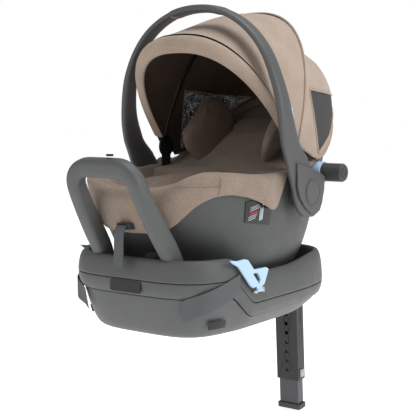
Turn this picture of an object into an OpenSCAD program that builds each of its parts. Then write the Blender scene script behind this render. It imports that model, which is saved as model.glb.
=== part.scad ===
// Infant car seat: a carrier with canopy and carry handle, docked on a base
// with a rebound bar and a load leg. Sizes in millimetres, +Z up, foot end
// at -Y, head end at +Y. Z = 0 is the base's flat underside.

/* [Base] */
// Widest part of the base, side to side
base_w = 380; // [360:1:470]
// Foot end of the base, in front of the origin
base_front = 280; // [272:1:330]
// Head end of the base, behind the origin
base_rear = 285; // [270:1:290]
// Height of the rim at the foot end
rim_front = 162; // [158:1:180]
// Height of the rim beside the carrier
rim_side = 122; // [112:1:126]
// Height of the upper seam at the foot end
seam_hi = 118; // [112:1:124]
// Height of the lower seam at the foot end
seam_lo = 86; // [78:1:92]
// Wall of the moulded base shells
base_wall = 3.2; // [2.6:0.1:4.5]

/* [Rebound bar] */
// Outside width at the feet
bar_w = 212; // [190:1:230]
// Height of the bar's top face
bar_top = 364; // [330:1:380]
// How far the top stands forward of the feet
bar_lean = 106; // [90:1:112]
// Height of the front face of the bar
bar_face = 38; // [30:1:44]

/* [Load leg] */
// Width of the outer tube
leg_w = 62; // [56:1:66]
// Depth of the outer tube
leg_d = 33; // [30:0.5:34]
// Length of the outer tube below its hinge
leg_len = 244; // [220:1:290]
// Length of the inner tube that shows at rest
leg_show = 62; // [50:1:80]
// Tilt of the leg from upright, degrees
leg_tilt = 4.1; // [0:0.1:8]
// Number of height holes
leg_holes = 7; // [5:1:9]
// Radius of the leg's hinge pin
leg_pin_r = 5; // [4:0.1:6]

/* [Carrier] */
// Width of the carrier shell at its rim
shell_w = 380; // [370:1:390]
// Foot end of the carrier rim, in front of the origin
shell_front = 274; // [266:1:280]
// Head end of the carrier rim, behind the origin
shell_rear = 352; // [340:1:360]
// Underside of the carrier shell
shell_low = 82; // [78:1:96]
// Wall of the carrier shell
shell_wall = 4; // [3:0.1:5]
// Thickness of the padded cover
cover_t = 8; // [5:0.5:10]

/* [Handle] */
// Outside width of the handle
handle_w = 436; // [430:1:448]
// Top of the handle above the base's underside
handle_top = 671; // [668:1:690]
// Thickness of the arms, side to side
arm_t = 18; // [14:0.5:19]
// Pin the handle turns on, radius
hub_pin_r = 8; // [6:0.1:10]

/* [Canopy] */
// Radius of the rear bow from its pivot
bow_rear_r = 322; // [316:1:328]
// Radius of the front bow from its pivot
bow_front_r = 294; // [288:1:295]
// Width between the bow pivots
bow_w = 352; // [346:1:356]

/* [Clearances] */
// Running clearance of turning pins, radial
run_gap = 0.06; // [0.02:0.01:0.1]
// Gap between sliding faces
slide_gap = 0.3; // [0.2:0.05:0.5]
// Gap between neighbouring soft or moulded pieces
part_gap = 0.6; // [0.4:0.1:1]

/* [Hidden] */
NS = 64;
hub_y = 72;
hub_z = 277;
can_y = 68;
can_z = 366;
fold_front = 37;
fold_rear = 20;
half_b = base_w / 2;
half_s = shell_w / 2;
half_h = handle_w / 2;
base_mid = -60;
leg_y = base_rear + 59;
leg_z = 17;
deck_z = 140;
well_z = 62;
back_tilt = 44;
pod_y = 150;
pod_z = 315;
lock_y = -97;
lock_z = 90;
knob_x = 36;
knob_y = -234;
foot_y = -165;

grey = [0.38, 0.39, 0.385];
dark = [0.27, 0.28, 0.28];
black = [0.1, 0.1, 0.1];
taupe = [0.6, 0.53, 0.46];
brown = [0.42, 0.35, 0.3];
blue = [0.66, 0.8, 0.92];
metal = [0.7, 0.7, 0.72];

// ---- helpers -------------------------------------------------------------
function clampf(v, a, b) = max(a, min(b, v));
function smooth(t) = let (u = clampf(t, 0, 1)) u * u * (3 - 2 * u);
function mix(a, b, t) = a + (b - a) * t;
function unit(v) = v / norm(v);

// Point on a squared oval at angle a, pushed outward by off.
function oval(a, w, yf, yr, yc, n, off = 0) =
  let (
    c = cos(a),
    s = sin(a),
    l = s < 0 ? yc - yf : yr - yc,
    r = pow(pow(abs(c) / w, n) + pow(abs(s) / l, n), -1 / n),
    gx = sign(c) * pow(abs(r * c) / w, n - 1) / w,
    gy = sign(s) * pow(abs(r * s) / l, n - 1) / l,
    g = norm([gx, gy])
  )
  [r * c + off * gx / g, yc + r * s + off * gy / g];

// Closed solid from rings of equal length. ring_loop joins last to first.
module loft(rings, ring_loop = false) {
  m = len(rings);
  n = len(rings[0]);
  pts = [for (r = rings) each r];
  last = ring_loop ? m - 1 : m - 2;
  side = [
    for (j = [0:last], i = [0:n - 1])
      let (
        k = (i + 1) % n,
        a = j * n + i,
        b = j * n + k,
        c = ((j + 1) % m) * n + k,
        d = ((j + 1) % m) * n + i
      )
      each [[a, d, c], [a, c, b]]
  ];
  mid0 = [for (q = [0:2]) let (v = [for (p = rings[0]) p[q]]) v * [for (p = v) 1] / n];
  mid1 = [for (q = [0:2]) let (v = [for (p = rings[m - 1]) p[q]]) v * [for (p = v) 1] / n];
  caps = [
    for (i = [0:n - 1])
      let (k = (i + 1) % n)
      each [[i, k, m * n], [(m - 1) * n + k, (m - 1) * n + i, m * n + 1]]
  ];
  if (ring_loop)
    polyhedron(pts, side);
  else
    polyhedron(concat(pts, [mid0, mid1]), concat(side, caps));
}

// Cross-section ring: centre, two axes u and v with u x v along the path.
function section(c, u, v, a, b, n, count) = [
  for (i = [0:count - 1])
    let (t = 360 * i / count, cc = cos(t), ss = sin(t))
    c + u * a * sign(cc) * pow(abs(cc), 2 / n) + v * b * sign(ss) * pow(abs(ss), 2 / n)
];

// Soft block: a squared pillow, size [x, y, z], on its own centre.
module pillow(size, n = 3.2, count = 28, steps = 7) {
  loft([
    for (j = [0:steps])
      let (
        t = -84 + 168 * j / steps,
        z = sign(t) * pow(abs(sin(t)), 0.75) * size[2] / 2,
        s = pow(cos(t), 0.45)
      )
      [for (i = [0:count - 1])
        let (p = oval(360 * i / count, s * size[0] / 2, -s * size[1] / 2, s * size[1] / 2, 0, n))
        [p[0], p[1], z]]
  ]);
}

// Strip of thickness t and width w along points p; side runs across it.
module strap(p, w, t, side = [1, 0, 0]) {
  m = len(p) - 1;
  loft([
    for (j = [0:m])
      let (
        d = unit(p[min(j + 1, m)] - p[max(j - 1, 0)]),
        x = unit(side - d * (side * d)),
        q = cross(d, x)
      )
      [p[j] - x * w / 2 - q * t / 2, p[j] + x * w / 2 - q * t / 2,
       p[j] + x * w / 2 + q * t / 2, p[j] - x * w / 2 + q * t / 2]
  ]);
}

module both_sides() {
  children();
  mirror([1, 0, 0])
    children();
}

// ---- base ----------------------------------------------------------------
function step(y, f, r) = mix(f, r, smooth((y + 178) / 84));
function rim_z(y) = step(y, rim_front, rim_side + 12 * smooth((y - 20) / 160));
function up_z(y) = step(y, seam_hi, seam_hi - 56);
function low_z(y) = step(y, seam_lo, seam_lo - 53);
function under_z(y) = 22 * smooth((y - 95) / 190);

function base_ring(inset, k) = [
  for (i = [0:NS - 1])
    let (p = oval(360 * i / NS, half_b - inset, inset - base_front, base_rear - inset, base_mid, 4))
    [p[0], p[1], k == 0 ? under_z(p[1]) : k == 1 ? low_z(p[1]) : k == 2 ? up_z(p[1]) : rim_z(p[1])]
];
function ring_mix(inset, k0, k1, t, dz = 0) = [
  for (q = [0:NS - 1])
    let (a = base_ring(inset, k0)[q], b = base_ring(inset, k1)[q])
    [a[0], a[1], mix(a[2], b[2], t) + dz]
];
function flat_ring(w, yf, yr, z) = [
  for (i = [0:NS - 1])
    let (p = oval(360 * i / NS, w, yf, yr, base_mid, 3.4))
    [p[0], p[1], z]
];

module base_lower_shell() {
  w = base_wall;
  color(grey)
    difference() {
      loft([
        flat_ring(half_b - 70, 66 - base_front, 70, 0),
        ring_mix(54, 0, 1, 0),
        ring_mix(40, 0, 1, 0.06),
        ring_mix(31, 0, 1, 0.2),
        ring_mix(19, 0, 1, 0.6),
        ring_mix(11, 0, 1, 1, -part_gap / 2),
        ring_mix(11 + w, 0, 1, 1, -part_gap / 2),
        ring_mix(19 + w, 0, 1, 0.6),
        ring_mix(32 + w, 0, 1, 0.2, 2),
        ring_mix(54 + w, 0, 1, 0, w),
        flat_ring(half_b - 72, 68 - base_front, 68, w)
      ]);
      translate([-leg_w / 2 - 11, 18, -1])
        cube([leg_w + 22, base_rear + 14, 39]);
      translate([0, foot_y, -1])
        cylinder(r = 24, h = 12, $fn = 48);
    }
}

module base_band() {
  g = part_gap / 2;
  color(grey)
    difference() {
      loft([
        ring_mix(12.5, 1, 2, 0, g),
        ring_mix(9, 1, 2, 0, g),
        ring_mix(4.5, 1, 2, 0.16, 0),
        ring_mix(1.2, 1, 2, 0.6, 0),
        ring_mix(0.4, 1, 2, 1, -g),
        ring_mix(4, 1, 2, 1, -g),
        ring_mix(5, 1, 2, 0.6, 0),
        ring_mix(8, 1, 2, 0.2, 0)
      ], true);
      translate([-leg_w / 2 - 11, base_rear - 60, 20])
        cube([leg_w + 22, 100, 18]);
    }
}

module base_upper_shell() {
  g = part_gap / 2;
  w = base_wall;
  color(grey)
    difference() {
      loft([
        flat_ring(half_b - 72, 72 - base_front, base_rear - 72, well_z - w),
        flat_ring(half_b - 34, 34 - base_front, base_rear - 34, well_z - w),
        ring_mix(27, 2, 3, 0.3),
        ring_mix(22.5, 2, 3, 1, -9),
        ring_mix(9, 2, 3, 1, -9),
        ring_mix(w + 1, 2, 3, 0.4),
        ring_mix(w, 2, 3, 0, g),
        ring_mix(0, 2, 3, 0, g),
        ring_mix(0.8, 2, 3, 0.3),
        ring_mix(3, 2, 3, 0.66),
        ring_mix(6.5, 2, 3, 0.88),
        ring_mix(11, 2, 3, 0.985),
        ring_mix(15.5, 2, 3, 1),
        ring_mix(18.5, 2, 3, 1, -2),
        ring_mix(20.5, 2, 3, 1, -7),
        ring_mix(24, 2, 3, 0.3),
        flat_ring(half_b - 32, 32 - base_front, base_rear - 32, well_z + 5),
        flat_ring(half_b - 36, 36 - base_front, base_rear - 36, well_z),
        flat_ring(half_b - 72, 72 - base_front, base_rear - 72, well_z)
      ]);
      both_sides()
        translate([bar_w / 2 - 34, -267, deck_z - 0.5])
          cube([36, 50, 40]);
      both_sides()
        translate([40, base_rear - 20, 84])
          rotate([-90, 0, 0])
            cylinder(r = 8.05, h = 30);
    }
}

module leg_storage_tray() {
  color(dark)
    difference() {
      translate([-leg_w / 2 - 10.2, 19, 0.4])
        cube([leg_w + 20.4, base_rear - 20, 37]);
      translate([-leg_w / 2 - 7.4, 21.8, -1])
        cube([leg_w + 14.8, base_rear, 36.2]);
    }
}

module front_deck() {
  color(dark)
    difference() {
      union() {
        intersection() {
          translate([0, 0, deck_z - 4])
            linear_extrude(4)
              polygon([for (i = [0:47]) oval(7.5 * i, half_b - 25, 25 - base_front, base_rear, base_mid, 4)]);
          translate([-half_b, -base_front, deck_z - 10])
            cube([2 * half_b, base_front - 190, 20]);
        }
        both_sides()
          translate([116, -206, well_z + part_gap])
            cylinder(r = 7, h = deck_z - 2 - well_z - part_gap);
        translate([knob_x, knob_y, well_z + part_gap])
          cylinder(r = 11, h = deck_z - 2 - well_z - part_gap);
      }
      translate([knob_x, knob_y, well_z + 20])
        cylinder(r = 6 + run_gap, h = deck_z);
    }
}

module front_badge() {
  color(black)
    translate([0, 0.5 - base_front, 0])
      rotate([90, 0, 0])
        linear_extrude(2)
          offset_plate(78, 23, 4, mix(seam_lo, seam_hi, 0.55));
}

module offset_plate(w, h, r, z) {
  translate([0, z])
    union() {
      square([w - 2 * r, h], center = true);
      square([w, h - 2 * r], center = true);
      for (sx = [-1, 1], sy = [-1, 1])
        translate([sx * (w / 2 - r), sy * (h / 2 - r)])
          circle(r = r);
    }
}

// Centre line of the bar: side, forward lean and height.
function bar_z(t) = mix(deck_z + part_gap, bar_top - bar_face / 2 - 4, t);
function bar_y(t) = -238 - bar_lean * lookup(t, [[0, 0], [0.09, 0.047], [0.17, 0.12], [0.39, 0.41],
  [0.58, 0.64], [0.76, 0.84], [0.87, 0.93], [1, 1]]);
function bar_pt(u) =
  let (
    hw = bar_w / 2 - 16,
    rc = 40,
    zt = bar_top - bar_face / 2 - 4,
    leg = zt - deck_z - part_gap - rc,
    s = abs(u)
  )
  s > 1
    ? let (k = 2 - s) [sign(u) * (hw - 14 * k * leg / (leg + rc)), bar_y(k * leg / (leg + rc)),
       deck_z + part_gap + k * leg]
    : let (
        a = 90 * clampf((1 - s) / 0.62, 0, 1),
        flat = clampf((0.38 - s) / 0.38, 0, 1),
        w1 = hw - 14 * leg / (leg + rc)
      )
      [sign(u) * (s > 0.38 ? w1 - rc * (1 - cos(a)) : (w1 - rc) * (1 - flat)),
       bar_y((leg + rc * sin(a)) / (leg + rc)),
       deck_z + part_gap + leg + rc * sin(a)];

module rebound_bar() {
  us = [2, 1.85, 1.7, 1.55, 1.4, 1.25, 1.1, 1, 0.93, 0.86, 0.79, 0.72, 0.65, 0.58, 0.51, 0.44, 0.38,
        0.25, 0.1];
  all = concat(us, [for (i = [len(us) - 1:-1:0]) -us[i]]);
  m = len(all) - 1;
  color(grey)
    loft([
      for (j = [0:m])
        let (
          c = bar_pt(all[j]),
          raw = bar_pt(all[min(j + 1, m)]) - bar_pt(all[max(j - 1, 0)]),
          d = j == 0 ? [0, 0, 1] : j == m ? [0, 0, -1] : unit(raw),
          s = abs(all[j]),
          lean = s > 1.9 ? 0 : 26 - 10 * clampf(1.4 - s, 0, 1),
          q = [0, -cos(lean), -sin(lean)],
          q2 = unit(q - d * (q * d)),
          v = cross(d, q2),
          dep = mix(15, 20, clampf(s - 0.6, 0, 1)),
          fw = mix(bar_face / 2, 16, clampf((s - 0.3) * 1.6, 0, 1))
        )
        section(c, q2, v, dep, fw, 3.4, 20)
    ]);
}

module bar_bumper() {
  color(black)
    translate([17, bar_y(1) + 2, bar_top - 0.5])
      cylinder(r = 7, h = 4);
}

module leg_housing() {
  x0 = leg_w / 2 + 3;
  x1 = leg_w / 2 + 34;
  y0 = base_rear + 0.5;
  prof = [
    [y0, 30], [y0 + 60, -2], [y0 + 72, 2], [y0 + 80, 14], [y0 + 83, 40], [y0 + 82, 78],
    [y0 + 76, 96], [y0 + 62, 108], [y0 + 40, 113], [y0, 115]
  ];
  color(grey)
    difference() {
      union() {
        translate([-x1, 0, 0])
          rotate([90, 0, 90])
            linear_extrude(2 * x1)
              polygon(prof);
        both_sides()
          translate([40, base_rear - 16, 84])
            rotate([-90, 0, 0])
              cylinder(r = 8, h = 40);
      }
      translate([-x0, y0 - 1, -5])
        cube([2 * x0, 100, 42]);
      translate([-x1 - 1, leg_y, leg_z])
        rotate([0, 90, 0])
          cylinder(r = leg_pin_r + 0.02, h = 2 * x1 + 2);
      translate([-x0, y0 + 6, 30])
        cube([2 * x0, 60, 66]);
    }
}

module leg_hinge_pin() {
  h = leg_w / 2 + 32;
  color(metal)
    translate([-h, leg_y, leg_z])
      rotate([0, 90, 0])
        cylinder(r = leg_pin_r, h = 2 * h);
}

module anchor_strap(side) {
  steps = 14;
  w = 1.6;
  color(dark)
    mirror([side < 0 ? 1 : 0, 0, 0])
        loft([
          for (j = [0:steps])
            let (
              t = j / steps,
              a = -mix(27, 58.5, t),
              zc = mix(110, 62, pow(t, 1.1)),
              off = mix(1.2, -7, smooth((t - 0.62) / 0.3)),
              hh = mix(19, 22, t),
              tuck = 8 * smooth((t - 0.62) / 0.3),
              p0 = oval(a, half_b, -base_front, base_rear, base_mid, 4, off - tuck),
              p1 = oval(a, half_b, -base_front, base_rear, base_mid, 4, off),
              q0 = oval(a, half_b, -base_front, base_rear, base_mid, 4, off - tuck + w),
              q1 = oval(a, half_b, -base_front, base_rear, base_mid, 4, off + w)
            )
            [[p0[0], p0[1], zc - hh], [p1[0], p1[1], zc + hh],
             [q1[0], q1[1], zc + hh], [q0[0], q0[1], zc - hh]]
        ]);
}

module anchor_strap_left() {
  anchor_strap(-1);
}

module anchor_strap_right() {
  anchor_strap(1);
}

module belt_label() {
  color(black)
    both_sides()
      loft([
        for (j = [0:4])
          let (
            a = -mix(34, 45, j / 4),
            p = oval(a, half_b - 24, 24 - base_front, base_rear, base_mid, 4, 1.6),
            q = oval(a, half_b - 24, 24 - base_front, base_rear, base_mid, 4, 2.4),
            r = oval(a, half_b - 20, 20 - base_front, base_rear, base_mid, 4, 1.6),
            s = oval(a, half_b - 20, 20 - base_front, base_rear, base_mid, 4, 2.4)
          )
          [[p[0], p[1], 22], [r[0], r[1], 38], [s[0], s[1], 38], [q[0], q[1], 22]]
      ]);
}

module lockoff_pins() {
  color(metal)
    both_sides()
      union() {
        translate([half_b + 5.9, lock_y - 14, lock_z])
          rotate([-90, 0, 0])
            cylinder(r = 2.2, h = 28);
        for (y = [-15, 11])
          translate([half_b - 3.6, lock_y + y, lock_z - 5])
            cube([14, 4, 9]);
      }
}

module base_rail(y) {
  color(metal)
    translate([-118, y, shell_low - 7 - 5 - slide_gap - 3.5])
      rotate([0, 90, 0])
        cylinder(r = 3.5, h = 236);
  color(metal)
    both_sides()
      translate([98, y - 6, well_z + 0.1])
        cube([8, 12, 5]);
}

module base_rail_front() {
  base_rail(-76);
}

module base_rail_rear() {
  base_rail(76);
}

// ---- lock-offs, knob and foot ---------------------------------------------
module lockoff(side) {
  out = [
    [-106, 0], [-90, -1], [-78, 12], [-64, 38], [-72, 43], [-118, 44], [-140, 66], [-152, 69],
    [-176, 68], [-200, 72], [-190, 64], [-172, 56], [-160, 44], [-128, 12], [-116, 5]
  ];
  win = [[-99, 12], [-94, 22], [-104, 36], [-122, 36]];
  color(blue)
    mirror([side < 0 ? 1 : 0, 0, 0])
      difference() {
        union() {
          translate([half_b + 3.4, 0, lock_z])
            rotate([90, 0, 90])
              linear_extrude(5)
                difference() {
                  polygon(out);
                  polygon(win);
                }
          translate([half_b + 5.9, lock_y - 10.6, lock_z])
            rotate([-90, 0, 0])
              cylinder(r = 4.3, h = 21.2);
        }
        translate([half_b + 5.9, lock_y - 15, lock_z])
          rotate([-90, 0, 0])
            cylinder(r = 2.2 + run_gap, h = 30);
        for (y = [-20, 10.6])
          translate([half_b, lock_y + y, lock_z - 8])
            cube([20, 9.4, 16]);
      }
}

module lockoff_left() {
  lockoff(-1);
}

module lockoff_right() {
  lockoff(1);
}

module recline_knob() {
  color(black)
    translate([knob_x, knob_y, 0])
      difference() {
        union() {
          translate([0, 0, deck_z + slide_gap])
            cylinder(r = 19, h = 22);
          translate([0, 0, deck_z + 22])
            cylinder(r1 = 19, r2 = 13, h = 5);
          translate([0, 0, well_z + 22])
            cylinder(r = 6, h = deck_z - well_z - 10);
        }
        for (a = [0:30:330])
          rotate([0, 0, a])
            translate([21.5, 0, deck_z - 2])
              cylinder(r = 4, h = 40);
        translate([0, 0, deck_z + 24])
          cylinder(r = 9, h = 10);
      }
}

module recline_foot() {
  color(dark)
    translate([0, foot_y, 0]) {
      translate([0, 0, 0.6])
        cylinder(r = 23.4, h = 14);
      translate([0, 0, 10])
        cylinder(r = 12, h = 34);
    }
}

// ---- load leg --------------------------------------------------------------
module in_leg() {
  translate([0, leg_y, leg_z])
    rotate([leg_tilt, 0, 0])
      children();
}

module leg_outer_tube() {
  t = 4;
  color(black)
    in_leg()
      difference() {
        union() {
          translate([-leg_w / 2, -leg_d / 2, -leg_len])
            cube([leg_w, leg_d, leg_len]);
          translate([-leg_w / 2, 0, 0])
            rotate([0, 90, 0])
              cylinder(r = leg_d / 2, h = leg_w);
        }
        translate([t - leg_w / 2, t - leg_d / 2, -leg_len - 1])
          cube([leg_w - 2 * t, leg_d - 2 * t, leg_len - 34]);
        translate([-leg_w, 0, 0])
          rotate([0, 90, 0])
            cylinder(r = leg_pin_r + run_gap, h = 2 * leg_w);
        for (i = [0:leg_holes - 1])
          translate([0, -leg_d / 2 - 1, -74 - i * 24])
            rotate([-90, 0, 0])
              cylinder(r = 4.5, h = t + 2);
        translate([leg_w / 2 - t - 1, -7, -leg_len + 8])
          cube([t + 2, 14, 20]);
      }
}

module leg_inner_tube() {
  g = 4 + slide_gap;
  color(dark)
    in_leg()
      difference() {
        translate([g - leg_w / 2, g - leg_d / 2, -leg_len - leg_show])
          cube([leg_w - 2 * g, leg_d - 2 * g, 118 + leg_show]);
        translate([g + 3 - leg_w / 2, g + 3 - leg_d / 2, -leg_len - leg_show - 1])
          cube([leg_w - 2 * g - 6, leg_d - 2 * g - 6, 120 + leg_show]);
      }
}

module leg_foot() {
  color(black)
    in_leg()
      translate([0, 0, -leg_len - leg_show]) {
        translate([-leg_w / 2 - 1, -leg_d / 2, -14])
          cube([leg_w + 2, leg_d, 13.7]);
        translate([-22, -8, -4])
          cube([44, 16, 20]);
      }
}

module leg_button() {
  color(metal)
    in_leg()
      translate([leg_w / 2 - 2.4, -6.6, -leg_len + 8.5])
        cube([6, 13.2, 19]);
}

// ---- carrier ---------------------------------------------------------------
// Rim height along the carrier.
function rim(y) = lookup(y, [[-300, 268], [-274, 268], [-262, 276], [-245, 292], [-225, 303], [-200, 306],
  [-60, 306], [0, 307], [72, 311], [120, 322], [170, 345], [230, 386], [290, 434], [360, 484]]);
// Height of the padded surface the child lies on, on the centre line.
function seat_z(y) = lookup(y, [[-300, 262], [-230, 246], [-150, 234], [-60, 214], [0, 196], [36, 200],
  [80, 232], [150, 300], [220, 367], [290, 430], [360, 478]]);
function shell_ring(w, yf, yr, g, off = 0, dz = 0) = [
  for (i = [0:NS - 1])
    let (p = oval(360 * i / NS, w, yf, yr, 10, 2.7, off))
    [p[0], p[1], shell_low + (rim(p[1]) - shell_low) * g + dz]
];
function rim_ring(off, zf) = [
  for (i = [0:NS - 1])
    let (p = oval(360 * i / NS, half_s, -shell_front, shell_rear, 10, 2.7, off))
    [p[0], p[1], zf(p[1])]
];

module carrier_shell() {
  t = shell_wall;
  w = half_s;
  color(grey)
    difference() {
      loft([
        shell_ring(w * 0.3, -90, 110, 0),
        shell_ring(w * 0.55, -130, 165, 0.015),
        shell_ring(w * 0.7, -160, 200, 0.05),
        shell_ring(w * 0.81, -172, 228, 0.14),
        shell_ring(w * 0.885, -194, 254, 0.31),
        shell_ring(w * 0.945, -234, 290, 0.58),
        shell_ring(w * 0.982, 9 - shell_front, 0.93 * shell_rear, 0.84),
        shell_ring(w, -shell_front, shell_rear, 1),
        shell_ring(w, -shell_front, shell_rear, 1, -t),
        shell_ring(w * 0.982, 9 - shell_front, 0.93 * shell_rear, 0.84, -t),
        shell_ring(w * 0.945, -234, 290, 0.58, -t, 1),
        shell_ring(w * 0.885, -194, 254, 0.31, -t, 2),
        shell_ring(w * 0.81, -172, 228, 0.14, -t, 3),
        shell_ring(w * 0.7, -160, 200, 0.05, -t, 4),
        shell_ring(w * 0.54, -128, 163, 0.015, -t, 4),
        shell_ring(w * 0.3, -90, 110, 0, -2, 4)
      ]);
      translate([-half_h, hub_y, hub_z])
        rotate([0, 90, 0])
          cylinder(r = hub_pin_r + 0.02, h = 2 * half_h);
      translate([-half_h, pod_y, pod_z])
        rotate([0, 90, 0])
          cylinder(r = 20 + slide_gap, h = 2 * half_h);
      both_sides()
        translate([half_s - 7.1, hub_y, hub_z])
          rotate([0, 90, 0])
            cylinder(r = 33.3, h = 30);
      both_sides()
        translate([half_s - 11.1, pod_y, pod_z])
          rotate([0, 90, 0])
            cylinder(r = 23.3, h = 30);
      translate([-20, -300, 214])
        cube([40, 80, 18]);
      translate([-46.5, 236, 217])
        cube([93, 60, 43]);
    }
}

module dock_bars() {
  color(metal)
    for (y = [-76, 76])
      translate([-70, y, shell_low - 7])
        rotate([0, 90, 0])
          cylinder(r = 5, h = 140);
  color(metal)
    both_sides()
      for (y = [-76, 76])
        translate([58, y - 6, shell_low - 7])
          cube([7, 12, 6.5]);
}

// The padded cover: one closed skin over the rim and down into the seat.
function hem(y) = lookup(y, [[-300, 205], [-276, 206], [-262, 214], [-246, 236], [-225, 266], [-200, 281],
  [-166, 285], [-120, 277], [-70, 258], [-40, 245], [-22, 248], [0, 286], [18, 315], [120, 326],
  [170, 351], [230, 392], [290, 440], [360, 490]]);
function top_z(y) = rim(y) + 15 + 11 * smooth((-y - 40) / 200);
function puff(y) = mix(13, 2.2, smooth((y + 80) / 70));
function tuck(y, t) = 17 * smooth((-y - 200) / 50) * pow(1 - clampf(t, 0, 1), 1.5);
function cover_z(y, t) = mix(hem(y), top_z(y), t);
function flap(off, bulge, t) = [
  for (i = [0:NS - 1])
    let (
      b = oval(360 * i / NS, half_s, -shell_front, shell_rear, 10, 2.7, 0),
      out = off + bulge * puff(b[1]) - tuck(b[1], t),
      p = oval(360 * i / NS, half_s, -shell_front, shell_rear, 10, 2.7, out)
    )
    [p[0], p[1], cover_z(b[1], t)]
];
// Inner face of the flap, from the rim (t = 0) to the hem (t = 1).
function skirt(off, t) = [
  for (i = [0:NS - 1])
    let (
      b = oval(360 * i / NS, half_s, -shell_front, shell_rear, 10, 2.7, 0),
      p = oval(360 * i / NS, half_s, -shell_front, shell_rear, 10, 2.7, off - tuck(b[1], 0.85 * (1 - t)))
    )
    [p[0], p[1], mix(rim(b[1]) + part_gap + 0.5, hem(b[1]) + 0.3, t)]
];
function bowl(s, dz) = [
  for (i = [0:NS - 1])
    let (
      b = oval(360 * i / NS, half_s - 26, 26 - shell_front, shell_rear - 26, 10, 2.7, 0),
      p = [b[0] * s, 10 + (b[1] - 10) * s],
      f = seat_z(p[1]),
      e = pow(s, 5),
      head = smooth((p[1] - 60) / 120)
    )
    [p[0], p[1], mix(f + mix(34, 20, head) * pow(abs(p[0]) / 150, 2), top_z(b[1]) - 12, e) + dz]
];

module seat_cover() {
  g = part_gap;
  t = cover_t;
  color(taupe)
    loft([
      bowl(0.1, -t),
      bowl(0.4, -t),
      bowl(0.66, -t),
      bowl(0.82, -t - 2),
      bowl(0.91, -t - 3),
      rim_ring(-6 - shell_wall, function(y) rim(y) - 4),
      rim_ring(-shell_wall - g - 1, function(y) rim(y) + g + 0.5),
      rim_ring(g + 0.2, function(y) rim(y) + g + 0.5),
      skirt(g + 0.35, 0.5),
      skirt(g + 0.6, 0.97),
      flap(1.6, 0.15, 0),
      flap(1, 0.6, 0.08),
      flap(0, 1, 0.4),
      flap(0, 1, 0.72),
      flap(-1, 0.75, 0.91),
      flap(-5, 0.2, 0.985),
      flap(-12, 0, 1),
      flap(-20, 0, 0.96),
      bowl(0.99, 0),
      bowl(0.95, 0),
      bowl(0.88, 0),
      bowl(0.78, 0),
      bowl(0.64, 0),
      bowl(0.4, 0),
      bowl(0.1, 0)
    ]);
}

module on_back(d, up = 0) {
  translate([0, 36, 206])
    rotate([back_tilt, 0, 0])
      translate([0, d, up])
        children();
}

module seat_cushion() {
  color(taupe)
    translate([0, -112, 244])
      rotate([-7, 0, 0])
        pillow([232, 190, 22]);
}

module back_cushion() {
  color(brown)
    on_back(78, 20)
      pillow([216, 136, 20]);
}

module crotch_pad() {
  color(black)
    translate([0, -52, 262])
      rotate([-28, 0, 0])
        pillow([44, 62, 12], 3, 20, 5);
}

module buckle() {
  color(black)
    translate([0, -36, 278])
      rotate([-35, 0, 0])
        difference() {
          translate([-19, -24, -6])
            cube([38, 44, 14]);
          translate([-12, -20, 2])
            cube([24, 20, 10]);
        }
}

module buckle_button() {
  color([0.75, 0.1, 0.1])
    translate([0, -36, 278])
      rotate([-35, 0, 0])
        translate([-11.5, -19.5, 4.2])
          cube([23, 19, 5]);
}

module harness_straps() {
  color(black)
    both_sides() {
      strap([[46, 114, 328], [45, 98, 315], [40, 78, 299], [34, 46, 280], [27, 22, 274], [17, -4, 277],
        [14, -14, 281]], 24, 2.4);
      strap([[112, 24, 250], [92, 8, 263], [66, -8, 271], [40, -21, 276], [22, -28, 277]], 24, 2.4,
        [0.45, -0.89, 0]);
    }
}

module chest_clip() {
  color(black)
    translate([0, 62, 289.5])
      rotate([30.7, 0, 0])
        difference() {
          translate([-40, -14, 1.6])
            cube([80, 28, 8]);
          translate([-9, -8, 7])
            cube([18, 16, 4]);
        }
}

module headrest_pad() {
  color(brown)
    on_back(226, 26)
      pillow([168, 146, 24]);
}

module headrest_wings() {
  color(taupe)
    both_sides()
      on_back(212, 72)
        translate([96, 0, 0])
          rotate([0, -66, 0])
            pillow([108, 176, 30], 3, 28, 7);
}

module adjuster_strap() {
  y = -shell_front;
  color(dark)
    strap([[0, y + 34, 225], [0, y - 14, 225], [0, y - 21, 220], [0, y - 24, 205], [0, y - 25, 180],
      [0, y - 26, 156], [0, y - 27, 144]], 24, 2);
}

module strap_guide() {
  color(metal)
    translate([-17, -shell_front - 13, 217])
      difference() {
        cube([34, 46, 12]);
        translate([4, -1, 5.5])
          cube([26, 60, 5]);
      }
}

module hub_mounts() {
  x0 = half_s - 7;
  x1 = half_h - arm_t - slide_gap;
  color(dark)
    both_sides()
      translate([x0, hub_y, hub_z])
        rotate([0, 90, 0])
          difference() {
            cylinder(r = 33, h = x1 - x0);
            translate([0, 0, -1])
              cylinder(r = hub_pin_r + 0.02, h = 30);
          }
}

module hub_pins() {
  color(metal)
    both_sides()
      translate([half_s - 24, hub_y, hub_z])
        rotate([0, 90, 0])
          cylinder(r = hub_pin_r, h = half_h - half_s + 23);
}

module canopy_clips() {
  x = bow_w / 2 - 9;
  color(black)
    both_sides()
      translate([x, 0, 0])
        rotate([90, 0, 90])
          linear_extrude(5)
            difference() {
              union() {
                translate([can_y, can_z])
                  circle(r = 24);
                translate([can_y - 14, 296])
                  square([28, can_z - 296]);
              }
              translate([can_y, can_z])
                circle(r = 3.9);
            }
  color(metal)
    both_sides()
      translate([x - 3, can_y, can_z])
        rotate([0, 90, 0])
          cylinder(r = 3.9, h = 17);
}

module release_lever() {
  color(blue)
    translate([-45, 250, 227])
      rotate([-18.3, 0, 0])
        cube([90, 20, 26]);
}

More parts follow.
